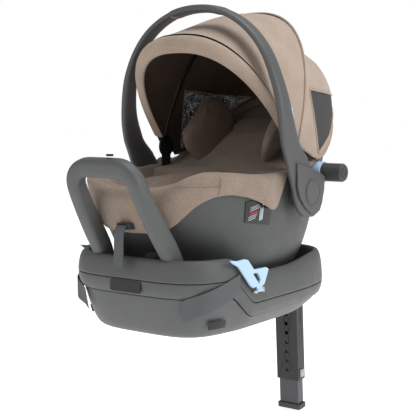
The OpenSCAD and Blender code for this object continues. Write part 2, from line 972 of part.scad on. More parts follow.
module side_label() {
  color(black)
    both_sides()
      loft([
        for (j = [0:6])
          let (a = -mix(13, 36, j / 6), hi = mix(276, 268, j / 6), lo = mix(214, 226, j / 6))
          [for (q = [[lo, 0.7], [hi, 0.7], [hi, 1.5], [lo, 1.5]])
            let (
              g = (q[0] - shell_low) / (306 - shell_low),
              w = half_s * lookup(g, [[0.31, 0.885], [0.58, 0.945], [0.84, 0.982], [1, 1]]),
              yf = lookup(g, [[0.31, -194], [0.58, -234], [0.84, 9 - shell_front], [1, -shell_front]]),
              p = oval(a, w, yf, 254, 10, 2.7, q[1])
            )
            [p[0], p[1], q[0]]]
      ]);
}

module pod_collars() {
  color(blue)
    both_sides()
      translate([half_s - 11, pod_y, pod_z])
        rotate([0, 90, 0])
          difference() {
            cylinder(r = 23, h = 27);
            translate([0, 0, -1])
              cylinder(r = 20 + slide_gap, h = 40);
          }
}

module pod(side) {
  color(black)
    mirror([side < 0 ? 1 : 0, 0, 0])
      translate([half_s + 8, pod_y, pod_z])
        rotate([0, 90, 0]) {
          cylinder(r = 20, h = 53);
          translate([0, 0, 53])
            cylinder(r1 = 20, r2 = 17, h = 4);
        }
  color([0.8, 0.1, 0.1])
    mirror([side < 0 ? 1 : 0, 0, 0])
      translate([half_s + 64, pod_y, pod_z])
        rotate([0, 90, 0])
          difference() {
            cylinder(r = 11, h = 2);
            translate([0, 0, 1])
              cylinder(r = 7, h = 3);
          }
}

module pod_left() {
  pod(-1);
}

module pod_right() {
  pod(1);
}

// ---- handle ----------------------------------------------------------------
// Outer half-width, centre depth and half-depth of the arm at height z.
function arm_y(z) = lookup(z, [[224, 78], [240, 74], [262, 68], [290, 60], [320, 42], [350, 22], [381, -3],
  [420, -15], [450, -21], [520, -31], [620, -34], [700, -32]]);
function arm_d(z) = lookup(z, [[224, 12], [229, 30], [240, 43], [262, 52], [290, 53], [320, 48], [350, 41],
  [381, 31], [420, 26], [450, 22], [520, 18.5], [620, 19], [700, 21]]);
arm_low = [224, 229, 240, 252, 264, 277, 290, 305, 320, 335, 350, 366, 382];
arc_pts = [
  for (a = [1:5:91])
    let (c = cos(min(a, 90)), s = sin(min(a, 90)), h = handle_top - 392)
    [half_h * pow(c, 2 / 2.1), 392 + h * pow(s, 2 / 2.35)]
];
arm_half = concat([for (z = arm_low) [half_h, z]], arc_pts);
arm_all = concat(arm_half, [for (i = [len(arm_half) - 2:-1:0]) [-arm_half[i][0], arm_half[i][1]]]);

function arm_ring(j, grow = 0) =
  let (
    m = len(arm_all) - 1,
    a = arm_all[max(j - 1, 0)],
    b = arm_all[min(j + 1, m)],
    d = unit(b - a),
    nrm = [d[1], -d[0]],
    p = arm_all[j],
    z = p[1],
    th = arm_thick(z) / 2,
    c = [p[0] - nrm[0] * th, arm_y(z), z - nrm[1] * th]
  )
  section(c, [0, -1, 0], [nrm[0], 0, nrm[1]], arm_d(z) + grow, th + grow, 3, 20);
function arm_thick(z) = mix(arm_t, arm_t - 4, smooth((z - 480) / 150));

module handle_bar() {
  m = len(arm_all) - 1;
  color(dark)
    difference() {
      loft([for (j = [0:m]) arm_ring(j)]);
      both_sides()
        translate([half_h - arm_t - 5, hub_y, hub_z])
          rotate([0, 90, 0])
            cylinder(r = hub_pin_r + run_gap, h = arm_t + 10);
      both_sides()
        translate([half_h - 14, 0, 0])
          rotate([90, 0, 90])
            linear_extrude(9)
              polygon(concat(button_edge(-10.4), [[70, 345], [70, 456]]));
    }
}

// Rear edge of the arm, moved by off, from low to high.
function button_edge(off) = [
  for (z = [456:-10:346])
    [arm_y(z) + arm_d(z) + off, z]
];

module handle_button(side) {
  back = button_edge(1.2);
  front = [for (i = [len(back) - 1:-1:0]) [back[i][0] - 7 + 3.6 * pow(i / 11 - 0.5, 2), back[i][1]]];
  color(blue)
    mirror([side < 0 ? 1 : 0, 0, 0])
      translate([half_h - 13.5, 0, -0.5])
        rotate([90, 0, 90])
          linear_extrude(8)
            polygon([for (p = concat(back, front)) [p[0], mix(p[1], 401, 0.012)]]);
}

module handle_button_left() {
  handle_button(-1);
}

module handle_button_right() {
  handle_button(1);
}

module handle_grip() {
  js = [25:37];
  outer = [for (j = js) arm_ring(j, 1.5)];
  inner = [for (j = js) arm_ring(j, 0.15)];
  k = len(outer) - 1;
  color(black)
    loft(concat(outer, [for (i = [k:-1:0]) inner[i]]), true);
}

module hub_cover(side) {
  prof = [
    [8, 341], [72, 326], [112, 314], [124, 306], [122, 280], [114, 252], [104, 236], [88, 229],
    [68, 231], [44, 246], [22, 268], [12, 290]
  ];
  color(dark)
    mirror([side < 0 ? 1 : 0, 0, 0])
      translate([half_h + slide_gap, 0, 0])
        rotate([90, 0, 90])
          difference() {
            union() {
              linear_extrude(3.2)
                polygon(prof);
              translate([hub_y, hub_z])
                cylinder(r = 29, h = 4.6);
            }
            translate([hub_y, hub_z, -1])
              cylinder(r = hub_pin_r + 1, h = 3);
            translate([hub_y, hub_z, 4])
              difference() {
                cylinder(r = 27, h = 2);
                cylinder(r = 25, h = 2);
              }
          }
}

module hub_cover_left() {
  hub_cover(-1);
}

module hub_cover_right() {
  hub_cover(1);
}

// ---- canopy ----------------------------------------------------------------
// Point on the canopy: angle back from upright, radius, side position.
function can_pt(psi, r, x) = [x, can_y + r * sin(psi), can_z + r * cos(psi)];
// Arch in the plane at angle psi: a runs 0 to 180 from one side to the other.
function arch(psi, r, w, a, n = 2.5) =
  let (c = cos(a), s = sin(a))
  can_pt(psi, r * pow(abs(s), 2 / n), w * sign(c) * pow(abs(c), 2 / n));

module bow(psi, r, w, wide) {
  n = 30;
  color(black) {
    loft([
      for (i = [0:n])
        let (a = 0.6 + 178.8 * i / n)
        [arch(psi - wide, r, w, a), arch(psi + wide, r, w, a),
         arch(psi + wide, r - 2.6, w - 2.6, a), arch(psi - wide, r - 2.6, w - 2.6, a)]
    ]);
    both_sides()
      translate([w - 3.2, can_y, can_z])
        rotate([0, 90, 0])
          difference() {
            cylinder(r = 11, h = 2.4);
            translate([0, 0, -1])
              cylinder(r = 3.9 + run_gap, h = 5);
          }
  }
}

module canopy_front_bow() {
  bow(1.3 - fold_front, bow_front_r, bow_w / 2 + 4, 1.1);
}

module canopy_rear_bow() {
  bow(fold_rear, bow_rear_r, bow_w / 2 + 0.6, 1.1);
}

// Closed thin sheet between two grids of points, outer and inner.
module skin(outer, inner) {
  m = len(outer) - 1;
  n = len(outer[0]) - 1;
  w = n + 1;
  k = (m + 1) * w;
  function id(j, i) = j * w + i;
  faces = [
    for (j = [0:m - 1], i = [0:n - 1])
      each [
        [id(j, i), id(j + 1, i + 1), id(j + 1, i)],
        [id(j, i), id(j, i + 1), id(j + 1, i + 1)],
        [k + id(j, i), k + id(j + 1, i), k + id(j + 1, i + 1)],
        [k + id(j, i), k + id(j + 1, i + 1), k + id(j, i + 1)]
      ]
  ];
  ends = [
    for (i = [0:n - 1])
      each [
        [id(0, i), k + id(0, i), k + id(0, i + 1)],
        [id(0, i), k + id(0, i + 1), id(0, i + 1)],
        [id(m, i), k + id(m, i + 1), k + id(m, i)],
        [id(m, i), id(m, i + 1), k + id(m, i + 1)]
      ]
  ];
  sides = [
    for (j = [0:m - 1])
      each [
        [id(j, 0), k + id(j + 1, 0), k + id(j, 0)],
        [id(j, 0), id(j + 1, 0), k + id(j + 1, 0)],
        [id(j, n), k + id(j, n), k + id(j + 1, n)],
        [id(j, n), k + id(j + 1, n), id(j + 1, n)]
      ]
  ];
  polyhedron(concat([for (r = outer) each r], [for (r = inner) each r]), concat(faces, ends, sides));
}

module canopy_rim() {
  n = 32;
  color(taupe)
    loft([
      for (i = [0:n])
        let (
          a = 3 + 174 * i / n,
          d = sin(a),
          p0 = arch(-fold_front + 1, bow_front_r + 2.5, bow_w / 2 + 9, a),
          p1 = arch(-fold_front - 1.8, bow_front_r + 3.5, bow_w / 2 + 12 + 10 * d * d * (1 - d), a),
          p2 = arch(-fold_front - 4.6, bow_front_r - 8, bow_w / 2 + 4, a),
          p3 = arch(-fold_front - 5, bow_front_r - 24, bow_w / 2 - 12, a),
          p4 = arch(-fold_front - 3.4, bow_front_r - 25, bow_w / 2 - 13, a),
          p5 = arch(-fold_front - 2.6, bow_front_r - 9, bow_w / 2 + 1, a)
        )
        [p0, p1, p2, p3, p4, p5]
    ]);
}

// Fabric between two bow angles, as a thin closed sheet.
function front_r(t) = mix(bow_front_r, bow_rear_r, t) - 30 * sin(180 * pow(t, 0.8));
function front_w(t) = bow_w / 2 + 5.5 - 3 * sin(180 * t);

module fabric(psi0, psi1, rf, wf, a0, a1, t = 1.2) {
  m = 9;
  n = 26;
  grid = [
    for (j = [0:m])
      let (u = j / m, psi = mix(psi0, psi1, u))
      [for (i = [0:n]) [psi, rf(u), wf(u), mix(a0(u), a1(u), i / n)]]
  ];
  skin(
    [for (r = grid) [for (g = r) arch(g[0], g[1] + t, g[2] + t, g[3])]],
    [for (r = grid) [for (g = r) arch(g[0], g[1], g[2], g[3])]]
  );
}

module canopy_front_panel() {
  color(taupe)
    fabric(2.6 - fold_front, fold_rear - 1.6, function(t) front_r(t) + 1.2, function(t) front_w(t) + 1,
      function(t) 0.5, function(t) 179.5);
}

// Rear drape: from the rear bow (t = 0) down to the edge of the shell (t = 1).
function edge_z(y) = lookup(y, [[100, 343], [150, 346], [180, 351], [230, 379], [290, 425], [400, 500]]);
function drape_pt(i, t, off) =
  let (
    b = arch(fold_rear + 1.9, bow_rear_r + 1.4 + off, bow_w / 2 + 7 + off, 0.6 + 178.8 * i),
    a = mix(33, 147, i),
    e = oval(a, half_s, -shell_front, shell_rear, 10, 2.7, 6.5 + off),
    q = [e[0], e[1], edge_z(e[1])],
    mid = pow(sin(180 * i), 0.8),
    out = mid * (46 * pow(sin(180 * pow(t, 1.7)), 1.2) - 16 * sin(180 * clampf(t * 2, 0, 1)))
  )
  [mix(b[0], q[0], t), mix(b[1], q[1], t) + out, mix(b[2], q[2], t) + out * 0.35];

module drape(thick) {
  m = 10;
  n = 28;
  skin(
    [for (j = [0:m]) [for (i = [0:n]) drape_pt(i / n, j / m, thick)]],
    [for (j = [0:m]) [for (i = [0:n]) drape_pt(i / n, j / m, 0)]]
  );
}

// Side window outline, drawn across the canopy and shrunk by g.
module window(g, x0, x1) {
  translate([x0, 0, 0])
    rotate([90, 0, 90])
      linear_extrude(x1 - x0)
        polygon([[142 + g, 496 - g], [336 - 2 * g, 482 - g], [222, 392 + g], [150 + g, 356 + 2 * g]]);
}

module canopy_rear_panel() {
  color(taupe)
    difference() {
      drape(1.2);
      window(0, -260, -100);
      window(0, 100, 260);
    }
}

module canopy_mesh(side) {
  color([0.2, 0.2, 0.2])
    mirror([side < 0 ? 1 : 0, 0, 0])
      intersection() {
        drape(0.7);
        window(0.4, 100, 260);
      }
}

module canopy_mesh_left() {
  canopy_mesh(-1);
}

module canopy_mesh_right() {
  canopy_mesh(1);
}

// ---- show ------------------------------------------------------------------
base_lower_shell();
base_band();
base_upper_shell();
leg_storage_tray();
front_deck();
front_badge();
rebound_bar();
bar_bumper();
leg_housing();
leg_hinge_pin();
anchor_strap_left();
anchor_strap_right();
belt_label();
lockoff_pins();
base_rail_front();
base_rail_rear();
lockoff_left();
lockoff_right();
recline_knob();
recline_foot();
leg_outer_tube();
leg_inner_tube();
leg_foot();
leg_button();
carrier_shell();
dock_bars();
seat_cover();
seat_cushion();
back_cushion();
crotch_pad();
buckle();
buckle_button();
harness_straps();
chest_clip();
headrest_pad();
headrest_wings();
adjuster_strap();
strap_guide();
hub_mounts();
hub_pins();
canopy_clips();
release_lever();
side_label();
pod_collars();
pod_left();
pod_right();
handle_bar();
handle_grip();
hub_cover_left();
hub_cover_right();
handle_button_left();
handle_button_right();
canopy_front_bow();
canopy_rear_bow();
canopy_rim();
canopy_front_panel();
canopy_rear_panel();
canopy_mesh_left();
canopy_mesh_right();
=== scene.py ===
# %% [markdown]
# # Infant car seat
# The imported CAD part is loaded as a fixed frame. Every moulded shell, every pad but the crotch pad and each canopy
# panel is then rebuilt here as a smooth mesh. The shells, pads and trims ride on the same bodies; the canopy cloths and
# window bindings are baked in place.

# %% Load the frame
import math

import bpy
import numpy as np
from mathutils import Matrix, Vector


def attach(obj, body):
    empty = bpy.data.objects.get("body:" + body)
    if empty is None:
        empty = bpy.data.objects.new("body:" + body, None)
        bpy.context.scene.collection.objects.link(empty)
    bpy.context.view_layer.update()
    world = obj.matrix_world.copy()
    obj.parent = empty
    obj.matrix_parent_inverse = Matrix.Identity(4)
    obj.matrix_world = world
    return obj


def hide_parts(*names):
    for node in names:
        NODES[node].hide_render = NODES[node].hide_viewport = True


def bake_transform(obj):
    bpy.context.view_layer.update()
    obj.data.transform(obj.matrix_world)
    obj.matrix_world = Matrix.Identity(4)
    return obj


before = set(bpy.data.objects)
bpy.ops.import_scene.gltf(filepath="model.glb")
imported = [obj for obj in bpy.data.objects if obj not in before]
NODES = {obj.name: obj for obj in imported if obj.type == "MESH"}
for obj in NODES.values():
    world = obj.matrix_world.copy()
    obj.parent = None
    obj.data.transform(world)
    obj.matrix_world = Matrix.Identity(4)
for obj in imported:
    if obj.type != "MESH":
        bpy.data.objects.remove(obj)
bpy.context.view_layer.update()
print("CAD nodes:", len(NODES))

# %% [markdown]
# ## Shape helpers
# All outlines are squared ovals, and all lofts are stacks of rings in millimetres.

# %% Shape helpers
MM = 0.001


def smooth(t):
    t = np.clip(t, 0, 1)
    return t * t * (3 - 2 * t)


def mix(a, b, t):
    return a + (b - a) * t


def table(x, pairs):
    xs, ys = zip(*pairs)
    return np.interp(x, xs, ys)


def soft_table(x, pairs, width=9.0):
    """The same look-up with its corners rounded off over width."""
    steps = np.linspace(-width, width, 7)
    return sum(table(x + s, pairs) for s in steps) / len(steps)


def oval(a, w, yf, yr, yc, n, off=0.0):
    """Squared oval at angles a in degrees, pushed outward by off."""
    c, s = np.cos(np.radians(a)), np.sin(np.radians(a))
    reach = np.where(s < 0, yc - yf, yr - yc)
    r = ((abs(c) / w) ** n + (abs(s) / reach) ** n) ** (-1 / n)
    gx = np.sign(c) * (abs(r * c) / w) ** (n - 1) / w
    gy = np.sign(s) * (abs(r * s) / reach) ** (n - 1) / reach
    g = np.hypot(gx, gy)
    return r * c + off * gx / g, yc + r * s + off * gy / g


def mesh_object(name, verts, faces, material, ground=True):
    me = bpy.data.meshes.new(name)
    me.from_pydata([tuple(v) for v in np.asarray(verts, float) * MM], [], faces)
    me.validate()
    for p in me.polygons:
        p.use_smooth = True
    o = bpy.data.objects.new(name, me)
    bpy.context.scene.collection.objects.link(o)
    o.data.materials.append(material)
    return o


def loft(name, rings, material, wrap=True, around=False, caps=True):
    """Quads through rings of equal length. wrap closes each ring, around joins last to first."""
    m, n = len(rings), len(rings[0])
    verts = np.concatenate([np.asarray(r, float) for r in rings])
    faces = []
    for j in range(m if around else m - 1):
        for i in range(n if wrap else n - 1):
            k, j2 = (i + 1) % n, (j + 1) % m
            faces.append((j * n + i, j * n + k, j2 * n + k, j2 * n + i))
    if caps and not around and wrap:
        faces.append(tuple(range(n - 1, -1, -1)))
        faces.append(tuple(range((m - 1) * n, m * n)))
    return mesh_object(name, verts, faces, material)


def modifier(o, kind, **settings):
    m = o.modifiers.new(kind.title(), kind)
    for key, value in settings.items():
        setattr(m, key, value)
    return m


def subdivide(o, levels=1):
    return modifier(o, "SUBSURF", levels=levels, render_levels=levels)


def thicken(o, t, offset=-1.0):
    return modifier(o, "SOLIDIFY", thickness=t * MM, offset=offset)


def tube(name, points, radius, material, cyclic=False):
    """A round cord of that radius along points, as a mesh."""
    cu = bpy.data.curves.new(name, "CURVE")
    cu.dimensions = "3D"
    cu.bevel_depth = radius * MM
    cu.bevel_resolution = 3
    sp = cu.splines.new("POLY")
    sp.points.add(len(points) - 1)
    for q, p in zip(sp.points, points):
        q.co = (p[0] * MM, p[1] * MM, p[2] * MM, 1)
    sp.use_cyclic_u = cyclic
    tmp = bpy.data.objects.new(name + "_curve", cu)
    bpy.context.scene.collection.objects.link(tmp)
    bpy.context.view_layer.update()
    me = bpy.data.meshes.new_from_object(tmp.evaluated_get(bpy.context.evaluated_depsgraph_get()))
    bpy.data.objects.remove(tmp)
    for p in me.polygons:
        p.use_smooth = True
    o = bpy.data.objects.new(name, me)
    o.data.materials.clear()
    o.data.materials.append(material)
    bpy.context.scene.collection.objects.link(o)
    return o


# %% [markdown]
# ## Materials
# Grain, knit and weave sizes are in millimetres.

# %% Material helpers
def linear(hex_rgb):
    """Linear colour from an sRGB hex string."""
    v = [int(hex_rgb[i:i + 2], 16) / 255 for i in (0, 2, 4)]
    return [x / 12.92 if x <= 0.04045 else ((x + 0.055) / 1.055) ** 2.4 for x in v] + [1.0]


def add(mat, kind, settings=None, links=None):
    """Adds a shader node, sets its inputs or properties, and links them."""
    node = mat.node_tree.nodes.new(kind)
    for key, value in (settings or {}).items():
        if key in node.inputs:
            node.inputs[key].default_value = value
        else:
            setattr(node, key, value)
    for key, source in (links or {}).items():
        mat.node_tree.links.new(source, node.inputs[key])
    return node


def new_material(name):
    mat = bpy.data.materials.new(name)
    mat.use_nodes = True
    shader = mat.node_tree.nodes["Principled BSDF"]
    return mat, shader


def ramp(mat, source, lo, hi, c0, c1):
    node = add(mat, "ShaderNodeMapRange", {"From Min": lo, "From Max": hi, "To Min": c0, "To Max": c1},
               {"Value": source})
    return node.outputs["Result"]


def tint(mat, factor, a, b):
    node = add(mat, "ShaderNodeMix", {"data_type": "RGBA"})
    mat.node_tree.links.new(factor, node.inputs[0])
    node.inputs[6].default_value = a
    node.inputs[7].default_value = b
    return node.outputs[2]


def bump(mat, shader, height, strength, distance_mm):
    node = add(mat, "ShaderNodeBump", {"Strength": strength, "Distance": distance_mm * MM}, {"Height": height})
    mat.node_tree.links.new(node.outputs["Normal"], shader.inputs["Normal"])


def coords(mat):
    return add(mat, "ShaderNodeTexCoord").outputs["Object"]


def noise(mat, size_mm, detail=2.0, vector=None):
    node = add(mat, "ShaderNodeTexNoise", {"Scale": 1000.0 / size_mm, "Detail": detail},
               {"Vector": vector or coords(mat)})
    return node.outputs["Fac"]


def plastic(name, colour, rough=0.5, grain_mm=0.9, strength=0.12):
    """Injection-moulded plastic with a fine spark-eroded grain."""
    mat, sh = new_material(name)
    base = linear(colour)
    dark = [c * 0.93 for c in base[:3]] + [1]
    mat.node_tree.links.new(tint(mat, noise(mat, 60, 2), dark, base), sh.inputs["Base Color"])
    mat.node_tree.links.new(ramp(mat, noise(mat, 25, 3), 0.3, 0.7, rough - 0.04, rough + 0.05),
                            sh.inputs["Roughness"])
    sh.inputs["Specular IOR Level"].default_value = 0.4
    if strength:
        bump(mat, sh, noise(mat, grain_mm, 3), strength, 0.12)
    return mat


def metal(name, colour, rough):
    mat, sh = new_material(name)
    sh.inputs["Base Color"].default_value = linear(colour)
    sh.inputs["Metallic"].default_value = 1.0
    mat.node_tree.links.new(ramp(mat, noise(mat, 8, 3), 0.3, 0.7, rough - 0.05, rough + 0.08),
                            sh.inputs["Roughness"])
    return mat


def fabric(name, light, dark, knit_mm=1.1, strength=0.5, flecks=0.5):
    """Melange knit: light and dark yarns mixed in short streaks, over a fine rib."""
    mat, sh = new_material(name)
    co = coords(mat)
    stretch = add(mat, "ShaderNodeMapping", {"Scale": (1.0, 1.0, 3.2)}, {"Vector": co}).outputs["Vector"]
    yarn = noise(mat, 2.6, 4, stretch)
    cloud = noise(mat, 45, 3, co)
    f = add(mat, "ShaderNodeMath", {"operation": "ADD"})
    mat.node_tree.links.new(ramp(mat, yarn, 0.5 - 0.18, 0.5 + 0.18, 0.5 - flecks, 0.5 + flecks), f.inputs[0])
    mat.node_tree.links.new(ramp(mat, cloud, 0.3, 0.7, -0.12, 0.12), f.inputs[1])
    f.use_clamp = True
    mat.node_tree.links.new(tint(mat, f.outputs[0], linear(dark), linear(light)), sh.inputs["Base Color"])
    sh.inputs["Roughness"].default_value = 0.92
    sh.inputs["Specular IOR Level"].default_value = 0.15
    sh.inputs["Sheen Weight"].default_value = 0.12
    sh.inputs["Sheen Roughness"].default_value = 0.5
    cells = add(mat, "ShaderNodeTexVoronoi", {"Scale": 1000.0 / knit_mm}, {"Vector": stretch})
    bump(mat, sh, cells.outputs["Distance"], strength, 0.3)
    return mat


def webbing_material(name, colour):
    mat, sh = new_material(name)
    wave = add(mat, "ShaderNodeTexWave", {"Scale": 1000.0 / 9.0, "Distortion": 0.4, "bands_direction": "Z"},
               {"Vector": coords(mat)})
    base = linear(colour)
    mat.node_tree.links.new(tint(mat, wave.outputs["Fac"], [c * 0.72 for c in base[:3]] + [1], base),
                            sh.inputs["Base Color"])
    sh.inputs["Roughness"].default_value = 0.75
    bump(mat, sh, wave.outputs["Fac"], 0.5, 0.3)
    return mat


def open_mesh(name, colour):
    """Air mesh: a fine net that lets some light through."""
    mat, sh = new_material(name)
    sh.inputs["Base Color"].default_value = linear(colour)
    sh.inputs["Roughness"].default_value = 0.8
    cells = add(mat, "ShaderNodeTexVoronoi", {"Scale": 1000.0 / 2.6}, {"Vector": coords(mat)})
    hole = ramp(mat, cells.outputs["Distance"], 0.16, 0.3, 0.62, 1.0)
    mat.node_tree.links.new(hole, sh.inputs["Alpha"])
    return mat


# %% Materials
GREY = plastic("grey_polypropylene", "525353", 0.5)
GREY_LIGHT = plastic("grey_polypropylene_upper", "555657", 0.48)
SHELL = plastic("grey_carrier_polypropylene", "474948", 0.52)
DARK = plastic("dark_grey_polypropylene", "3c3e3f", 0.5)
HANDLE = plastic("handle_polypropylene", "515152", 0.46, 0.8)
BLACK = plastic("black_polypropylene", "1b1c1d", 0.42)
GLOSS = plastic("black_gloss_abs", "0e0f10", 0.2, 1, 0)
RUBBER = plastic("black_rubber", "262728", 0.75, 1.4, 0.4)
LEG_BLACK = plastic("black_powder_coat", "2a2b2c", 0.42, 0.7, 0.15)
LEG_SIDE = plastic("grey_powder_coat", "5c5d5f", 0.42, 0.7, 0.15)
LEG_GREY = plastic("grey_aluminium_coat", "4a4b4e", 0.38, 0.7, 0.1)
BLUE = plastic("pale_blue_polyoxymethylene", "aecbe6", 0.35, 1, 0)
RED = plastic("red_abs", "b01a1a", 0.35, 1, 0)
WHITE = plastic("white_label_film", "e4e4e2", 0.45, 1, 0)
SILVER = plastic("silver_abs", "a9abad", 0.35, 1, 0)
BUTTON = plastic("grey_soft_button", "8a8a89", 0.5, 1, 0)
STEEL = metal("brushed_steel", "b8b8bc", 0.32)
TAUPE = fabric("taupe_melange_knit", "a08f80", "70635a", flecks=0.35)
CANOPY = fabric("taupe_canopy_canvas", "b5a496", "8a7b6f", 0.8, 0.35, 0.3)
INSIDE = fabric("dark_brown_lining", "5d4c3f", "382b22", 0.9, 0.3, 0.3)
# Painted shade: a darker copy of the taupe knit, for the pads that sit in shade inside the carrier
SHADED_TAUPE = fabric("taupe_jersey_painted_shade", "8a7768", "5a4c41", 0.8, 0.35, 0.3)
WEB = webbing_material("dark_polyester_webbing", "58595b")
NET = open_mesh("black_air_mesh", "3a3a3a")
PIPING = fabric("taupe_bias_binding", "b3a293", "8a7a6c", 0.6, 0.3, 0.3)
print("materials:", len(bpy.data.materials))

# %% [markdown]
# ## Base
# Three moulded shells: lower tub, seam band and upper rim. The seams step down
# from the foot end to the head end.

# %% Base
SIDES = 128
A = np.arange(SIDES) * 360.0 / SIDES


def step(y, f, r):
    return mix(f, r, smooth((y + 178) / 84))


BASE_H = [
    lambda y: 22 * smooth((y - 95) / 190),
    lambda y: step(y, 86, 33),
    lambda y: step(y, 118, 62),
    lambda y: step(y, 162, 122 + 12 * smooth((y - 20) / 160)),
]


def base_ring(inset, k0, k1=None, t=0.0, dz=0.0):
    x, y = oval(A, 190 - inset, inset - 280, 285 - inset, -60, 4)
    z = BASE_H[k0](y)
    if k1 is not None:
        z = mix(z, BASE_H[k1](y), t)
    return np.stack([x, y, z + dz], 1)


def flat_ring(w, yf, yr, z):
    x, y = oval(A, w, yf, yr, -60, 3.4)
    return np.stack([x, y, np.full_like(x, z)], 1)


lower = loft("base_tub", [
    flat_ring(120, -214, 70, 0), base_ring(60, 0, 1, 0), base_ring(54, 0, 1, 0), base_ring(46, 0, 1, 0.02),
    base_ring(38, 0, 1, 0.08), base_ring(31, 0, 1, 0.2), base_ring(19, 0, 1, 0.6), base_ring(12.4, 0, 1, 0.94),
    base_ring(11.2, 0, 1, 0.99), base_ring(12.4, 0, 1, 1, -0.3), base_ring(17, 0, 1, 1, -0.5),
], GREY_LIGHT)
band = loft("base_band_skin", [
    base_ring(12.5, 1, 2, 0, 1.2), base_ring(9.4, 1, 2, 0, 0.5), base_ring(8.6, 1, 2, 0.03), base_ring(4.5, 1, 2, 0.2),
    base_ring(1.4, 1, 2, 0.6), base_ring(0.6, 1, 2, 0.93), base_ring(0.8, 1, 2, 0.99, -0.2),
    base_ring(4, 1, 2, 1, -0.5), base_ring(5, 1, 2, 0.6), base_ring(9, 1, 2, 0.2),
], GREY, around=True)
rim = loft("base_rim_skin", [
    flat_ring(118, -208, 213, 62), flat_ring(154, -244, 249, 62), flat_ring(158, -248, 253, 67),
    base_ring(24, 2, 3, 0.3), base_ring(20.5, 2, 3, 1, -7), base_ring(18.5, 2, 3, 1, -2),
    base_ring(15.5, 2, 3, 1, 0), base_ring(11, 2, 3, 0.985), base_ring(6.5, 2, 3, 0.88), base_ring(3, 2, 3, 0.66),
    base_ring(0.8, 2, 3, 0.3), base_ring(0, 2, 3, 0.04), base_ring(0.5, 2, 3, 0, 0.4), base_ring(4, 2, 3, 0, 0.6),
    base_ring(8, 2, 3, 0, 2),
], GREY)
for o in (lower, band, rim):
    subdivide(o)
    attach(o, "base")
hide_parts("base_lower_shell")
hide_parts("base_band")
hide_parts("base_upper_shell")
print("base shells:", len(lower.data.vertices) + len(band.data.vertices) + len(rim.data.vertices), "points")

# %% [markdown]
# ## Rebound bar

# %% Rebound bar
BAR_LEAN = [(0, 0), (0.09, 0.047), (0.17, 0.12), (0.39, 0.41), (0.58, 0.64), (0.76, 0.84), (0.87, 0.93), (1, 1)]


def bar_y(t):
    return -238 - 106 * soft_table(t, BAR_LEAN, 0.05) - (1 - min(1, t * 12)) * -1.5


def bar_point(u):
    hw, rc, zt = 90.0, 40.0, 341.0
    leg = zt - 140.6 - rc
    s, sign = abs(u), (1 if u >= 0 else -1)
    if s > 1:
        k = 2 - s
        return np.array([sign * (hw - 14 * k * leg / (leg + rc)), bar_y(k * leg / (leg + rc)), 140.6 + k * leg])
    a = math.radians(90 * min(max((1 - s) / 0.62, 0), 1))
    flat = min(max((0.38 - s) / 0.38, 0), 1)
    w1 = hw - 14 * leg / (leg + rc)
    x = w1 - rc * (1 - math.cos(a)) if s > 0.38 else (w1 - rc) * (1 - flat)
    return np.array([sign * x, bar_y((leg + rc * math.sin(a)) / (leg + rc)), 140.6 + leg + rc * math.sin(a)])


def section(c, u, v, a, b, n, count):
    t = np.radians(np.arange(count) * 360 / count)
    cc, ss = np.cos(t), np.sin(t)
    return (c + np.outer(a * np.sign(cc) * abs(cc) ** (2 / n), u) + np.outer(b * np.sign(ss) * abs(ss) ** (2 / n), v))


def unit(v):
    return v / np.linalg.norm(v)


us = np.concatenate([np.linspace(2, 1, 22), np.linspace(0.96, 0.38, 16), np.linspace(0.3, 0.02, 5)])
us = np.concatenate([us, -us[::-1]])
rings = []
for j, u in enumerate(us):
    d = unit(bar_point(us[min(j + 1, len(us) - 1)]) - bar_point(us[max(j - 1, 0)]))
    s = abs(u)
    lean = math.radians(26 - 10 * min(max(1.4 - s, 0), 1))
    q = np.array([0, -math.cos(lean), -math.sin(lean)])
    q = unit(q - d * (q @ d))
    v = np.cross(d, q)
    depth = mix(15, 20, min(max(s - 0.6, 0), 1))
    face = mix(19, 16, min(max((s - 0.3) * 1.6, 0), 1))
    rings.append(section(bar_point(u), q, v, depth, face, 3.4, 32))
bar = loft("rebound_bar_skin", rings, GREY)
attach(bar, "base")
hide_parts("rebound_bar")

# %% [markdown]
# ## Carrier shell

# %% Carrier shell
RIM_Z = [(-300, 268), (-274, 268), (-262, 276), (-245, 292), (-225, 303), (-200, 306), (-60, 306), (0, 307),
         (72, 311), (120, 322), (170, 345), (230, 386), (290, 434), (360, 484)]


def rim_z(y):
    return soft_table(y, RIM_Z, 14)


def shell_ring(w, yf, yr, g, off=0.0, dz=0.0):
    x, y = oval(A, w, yf, yr, 10, 2.7, off)
    return np.stack([x, y, 82 + (rim_z(y) - 82) * g + dz], 1)


LEVELS = [(0.0, 0.3, -90, 110), (0.015, 0.55, -130, 165), (0.05, 0.7, -156, 200), (0.14, 0.81, -172, 228),
          (0.31, 0.885, -194, 254), (0.58, 0.945, -234, 290), (0.84, 0.982, -265, 327.4), (1.0, 1.0, -274, 352)]
outer = [shell_ring(190 * w, yf, yr, g) for g, w, yf, yr in LEVELS]
inner = [shell_ring(190 * w, yf, yr, g, -4, min(4, 20 * (1 - g))) for g, w, yf, yr in LEVELS[::-1]]
edge = [shell_ring(190, -274, 352, 0.992, 0.0), shell_ring(190, -274, 352, 1, -1), shell_ring(190, -274, 352, 1, -3)]
shell = loft("carrier_tub", outer + edge + inner[:6], SHELL, caps=False)
floor_cap = loft("carrier_floor", [outer[0], shell_ring(20, -20, 30, 0)], SHELL)
subdivide(shell, 2)
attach(shell, "carrier")
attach(floor_cap, "carrier")
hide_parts("carrier_shell")
